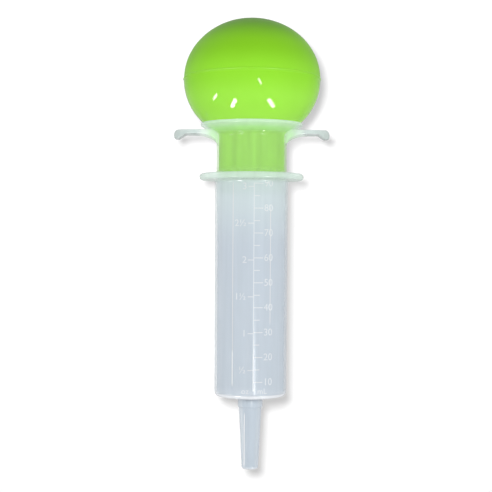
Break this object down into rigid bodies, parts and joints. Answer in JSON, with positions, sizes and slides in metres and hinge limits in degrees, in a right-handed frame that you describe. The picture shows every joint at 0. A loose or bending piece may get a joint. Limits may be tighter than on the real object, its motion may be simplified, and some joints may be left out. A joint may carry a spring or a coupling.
{
  "type": "bulb irrigation syringe",
  "caption": "Bulb syringe: a soft squeeze bulb in a winged grip collar, plugged into a graduated translucent barrel with a catheter tip.",
  "frame": {"origin": "centre of the mouth of the catheter tip", "axes": "+Z along the syringe from the tip to the bulb; X along the finger wings; the scale faces -Y"},
  "size_m": [0.0754, 0.0664, 0.2185],
  "materials": {
    "barrel_plastic": "translucent natural polypropylene, glossy outside",
    "scale_marks": "raised frosted marks",
    "collar_plastic": "translucent natural polypropylene, satin",
    "bulb_rubber": "smooth soft vinyl, satin above the parting line and glossier below it"
  },
  "bodies": {
    "barrel": {"barrel": "barrel_plastic", "graduation_scale": "scale_marks"},
    "collar": {"grip_collar": "collar_plastic"},
    "bulb": {"bulb_neck": "bulb_rubber", "bulb_skirt": "bulb_rubber"},
    "crown": {"bulb_crown": "bulb_rubber"}
  },
  "joints": [
    {"name": "collar_pull", "type": "slide", "parent": "barrel", "child": "collar", "axis": [0, 0, 1], "range_m": [0, 0.025]},
    {"name": "bulb_pull", "type": "slide", "parent": "collar", "child": "bulb", "axis": [0, 0, 1], "range_m": [0, 0.02]},
    {"name": "bulb_press", "type": "slide", "parent": "bulb", "child": "crown", "axis": [0, 0, -1], "range_m": [0, 0.016], "stiffness_N_per_m": 1200, "deforming": ["bulb_skirt"]}
  ]
}
